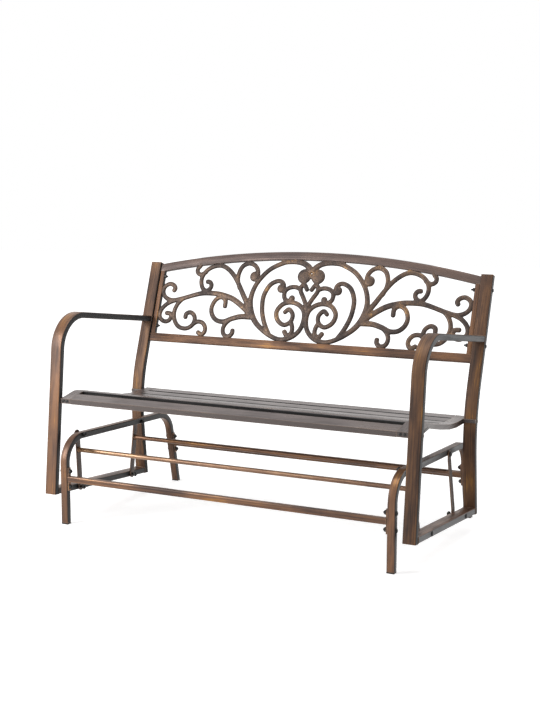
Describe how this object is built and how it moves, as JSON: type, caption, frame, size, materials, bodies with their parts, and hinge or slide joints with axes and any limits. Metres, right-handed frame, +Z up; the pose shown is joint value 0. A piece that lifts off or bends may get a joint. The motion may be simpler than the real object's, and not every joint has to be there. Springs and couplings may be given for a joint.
{
  "type": "glider bench",
  "caption": "Two-seat garden glider bench: a steel seat with curved arms and an arched scrollwork back, hung on swing links from a standing base.",
  "frame": {"origin": "middle of the bench on the floor, under the centre of its overall length, depth and height box", "axes": "+X along the bench to the side on a viewer's right when facing the seat from the front, +Y towards the back of the bench, +Z up"},
  "size_m": [1.2836, 0.7012, 0.8587],
  "materials": {
    "bronze_frame": "antique bronze powder coat with brushed copper highlights, satin",
    "seat_steel": "antique bronze powder coat, satin",
    "cast_bronze": "antique bronze powder coat with brushed highlights on the raised edges, satin",
    "copper_rod": "bronze powder coat with copper highlights, satin",
    "blackened_steel": "black satin",
    "black_plastic": "matt"
  },
  "bodies": {
    "base": {"base_frame_left": "bronze_frame", "base_frame_right": "bronze_frame", "front_stretcher": "bronze_frame", "rear_stretcher": "bronze_frame", "foot_plug_front_left": "black_plastic", "foot_plug_front_right": "black_plastic", "foot_plug_rear_left": "black_plastic", "foot_plug_rear_right": "black_plastic", "stretcher_bolt_front_upper_left": "blackened_steel", "stretcher_bolt_front_upper_right": "blackened_steel", "stretcher_bolt_front_lower_left": "blackened_steel", "stretcher_bolt_front_lower_right": "blackened_steel", "stretcher_bolt_rear_upper_left": "blackened_steel", "stretcher_bolt_rear_upper_right": "blackened_steel", "stretcher_bolt_rear_lower_left": "blackened_steel", "stretcher_bolt_rear_lower_right": "blackened_steel", "upper_pivot_bolt_front_left": "blackened_steel", "upper_pivot_bolt_front_right": "blackened_steel", "upper_pivot_bolt_rear_left": "blackened_steel", "upper_pivot_bolt_rear_right": "blackened_steel"},
    "front_swing": {"swing_link_front_left": "bronze_frame", "swing_link_front_right": "bronze_frame", "front_swing_rod": "copper_rod"},
    "rear_swing": {"swing_link_rear_left": "bronze_frame", "swing_link_rear_right": "bronze_frame", "rear_swing_rod": "copper_rod"},
    "glider": {"arm_tube_left": "bronze_frame", "back_post_left": "bronze_frame", "bottom_rail_left": "bronze_frame", "post_cap_left": "bronze_frame", "seat_side_bar_left": "seat_steel", "lower_pivot_bolt_front_left": "blackened_steel", "lower_pivot_bolt_rear_left": "blackened_steel", "seat_bolt_front_left": "blackened_steel", "seat_bolt_rear_left": "blackened_steel", "panel_bolt_lower_left": "blackened_steel", "panel_bolt_upper_left": "blackened_steel", "arm_tube_right": "bronze_frame", "back_post_right": "bronze_frame", "bottom_rail_right": "bronze_frame", "post_cap_right": "bronze_frame", "seat_side_bar_right": "seat_steel", "lower_pivot_bolt_front_right": "blackened_steel", "lower_pivot_bolt_rear_right": "blackened_steel", "seat_bolt_front_right": "blackened_steel", "seat_bolt_rear_right": "blackened_steel", "panel_bolt_lower_right": "blackened_steel", "panel_bolt_upper_right": "blackened_steel", "seat_slat_1_front": "seat_steel", "seat_slat_2": "seat_steel", "seat_slat_3": "seat_steel", "seat_slat_4": "seat_steel", "seat_slat_5": "seat_steel", "seat_slat_6": "seat_steel", "seat_slat_7": "seat_steel", "seat_slat_8": "seat_steel", "seat_slat_9_rear": "seat_steel", "back_panel_frame": "bronze_frame", "back_scroll_casting": "cast_bronze"}
  },
  "joints": [
    {"name": "front_swing_pivot", "type": "hinge", "parent": "base", "child": "front_swing", "pos_m": [0, -0.25249, 0.2806], "axis": [1, 0, 0], "range_deg": [-10, 10]},
    {"name": "glider_pivot", "type": "hinge", "parent": "front_swing", "child": "glider", "pos_m": [0, -0.21459, 0.09391], "axis": [1, 0, 0], "range_deg": [-11.5, 11.5]},
    {"name": "rear_swing_pivot", "type": "hinge", "parent": "base", "child": "rear_swing", "pos_m": [0, 0.09291, 0.26302], "axis": [1, 0, 0], "range_deg": [-10, 10]}
  ],
  "couplings": [
    {"joint": "glider_pivot", "follows": "front_swing_pivot", "ratio": -1.124},
    {"joint": "rear_swing_pivot", "follows": "front_swing_pivot", "ratio": 0.9641}
  ]
}
